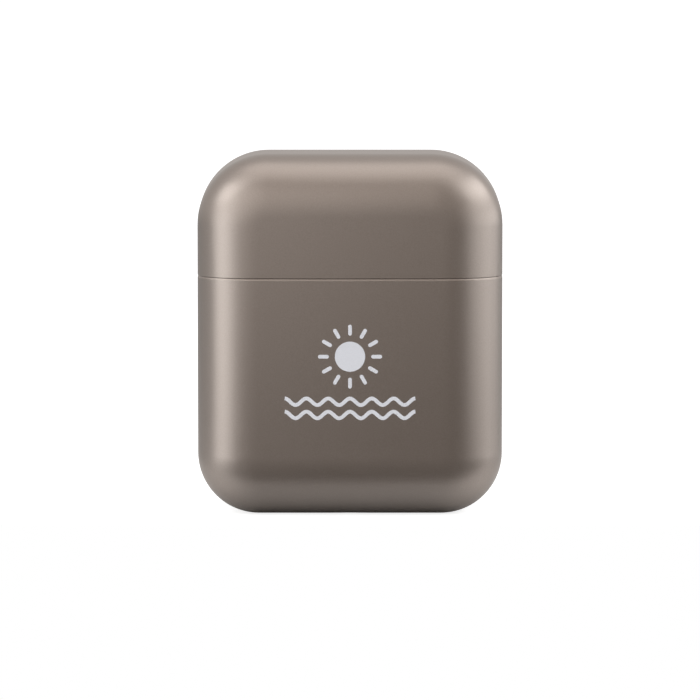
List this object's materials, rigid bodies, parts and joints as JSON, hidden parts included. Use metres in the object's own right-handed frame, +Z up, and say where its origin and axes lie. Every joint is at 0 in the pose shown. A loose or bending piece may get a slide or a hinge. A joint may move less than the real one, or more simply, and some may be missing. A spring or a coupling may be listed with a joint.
{
  "type": "sunscreen stick",
  "caption": "Flat soap-shaped twist-up sunscreen stick: satin taupe case and pull-off cap, solid balm raised by a recessed dial in the base.",
  "frame": {"origin": "middle of the flat base that the stick stands on", "axes": "+Z up along the stick, +X to the right seen from the front, the front face towards -Y"},
  "size_m": [0.0508, 0.026, 0.06],
  "materials": {
    "taupe_lacquer": "satin metallic lacquer on moulded plastic",
    "inner_plastic": "fine satin moulded plastic",
    "mechanism_plastic": "plain moulded plastic",
    "seal_rubber": "clear silicone",
    "dial_plastic": "fine satin moulded plastic",
    "balm": "smooth waxy solid"
  },
  "bodies": {
    "case": {"body_shell": "taupe_lacquer", "inner_case": "inner_plastic", "shoulder_ring": "inner_plastic", "spindle_seal": "seal_rubber"},
    "cap": {"cap_shell": "taupe_lacquer", "cap_liner": "inner_plastic"},
    "turning_dial": {"dial": "dial_plastic", "spindle": "mechanism_plastic"},
    "stick": {"lift_cup": "mechanism_plastic", "balm_stick": "balm"}
  },
  "joints": [
    {"name": "cap_lift", "type": "slide", "parent": "case", "child": "cap", "axis": [0, 0, 1], "range_m": [0, 0.03]},
    {"name": "dial_turn", "type": "hinge", "parent": "case", "child": "turning_dial", "pos_m": [0, 0, 0.0006], "axis": [0, 0, 1], "range_deg": [0, 1080]},
    {"name": "stick_lift", "type": "slide", "parent": "case", "child": "stick", "axis": [0, 0, 1], "range_m": [0, 0.0132]}
  ],
  "couplings": [
    {"joint": "dial_turn", "follows": "stick_lift", "rad_per_m": 1427.6}
  ]
}
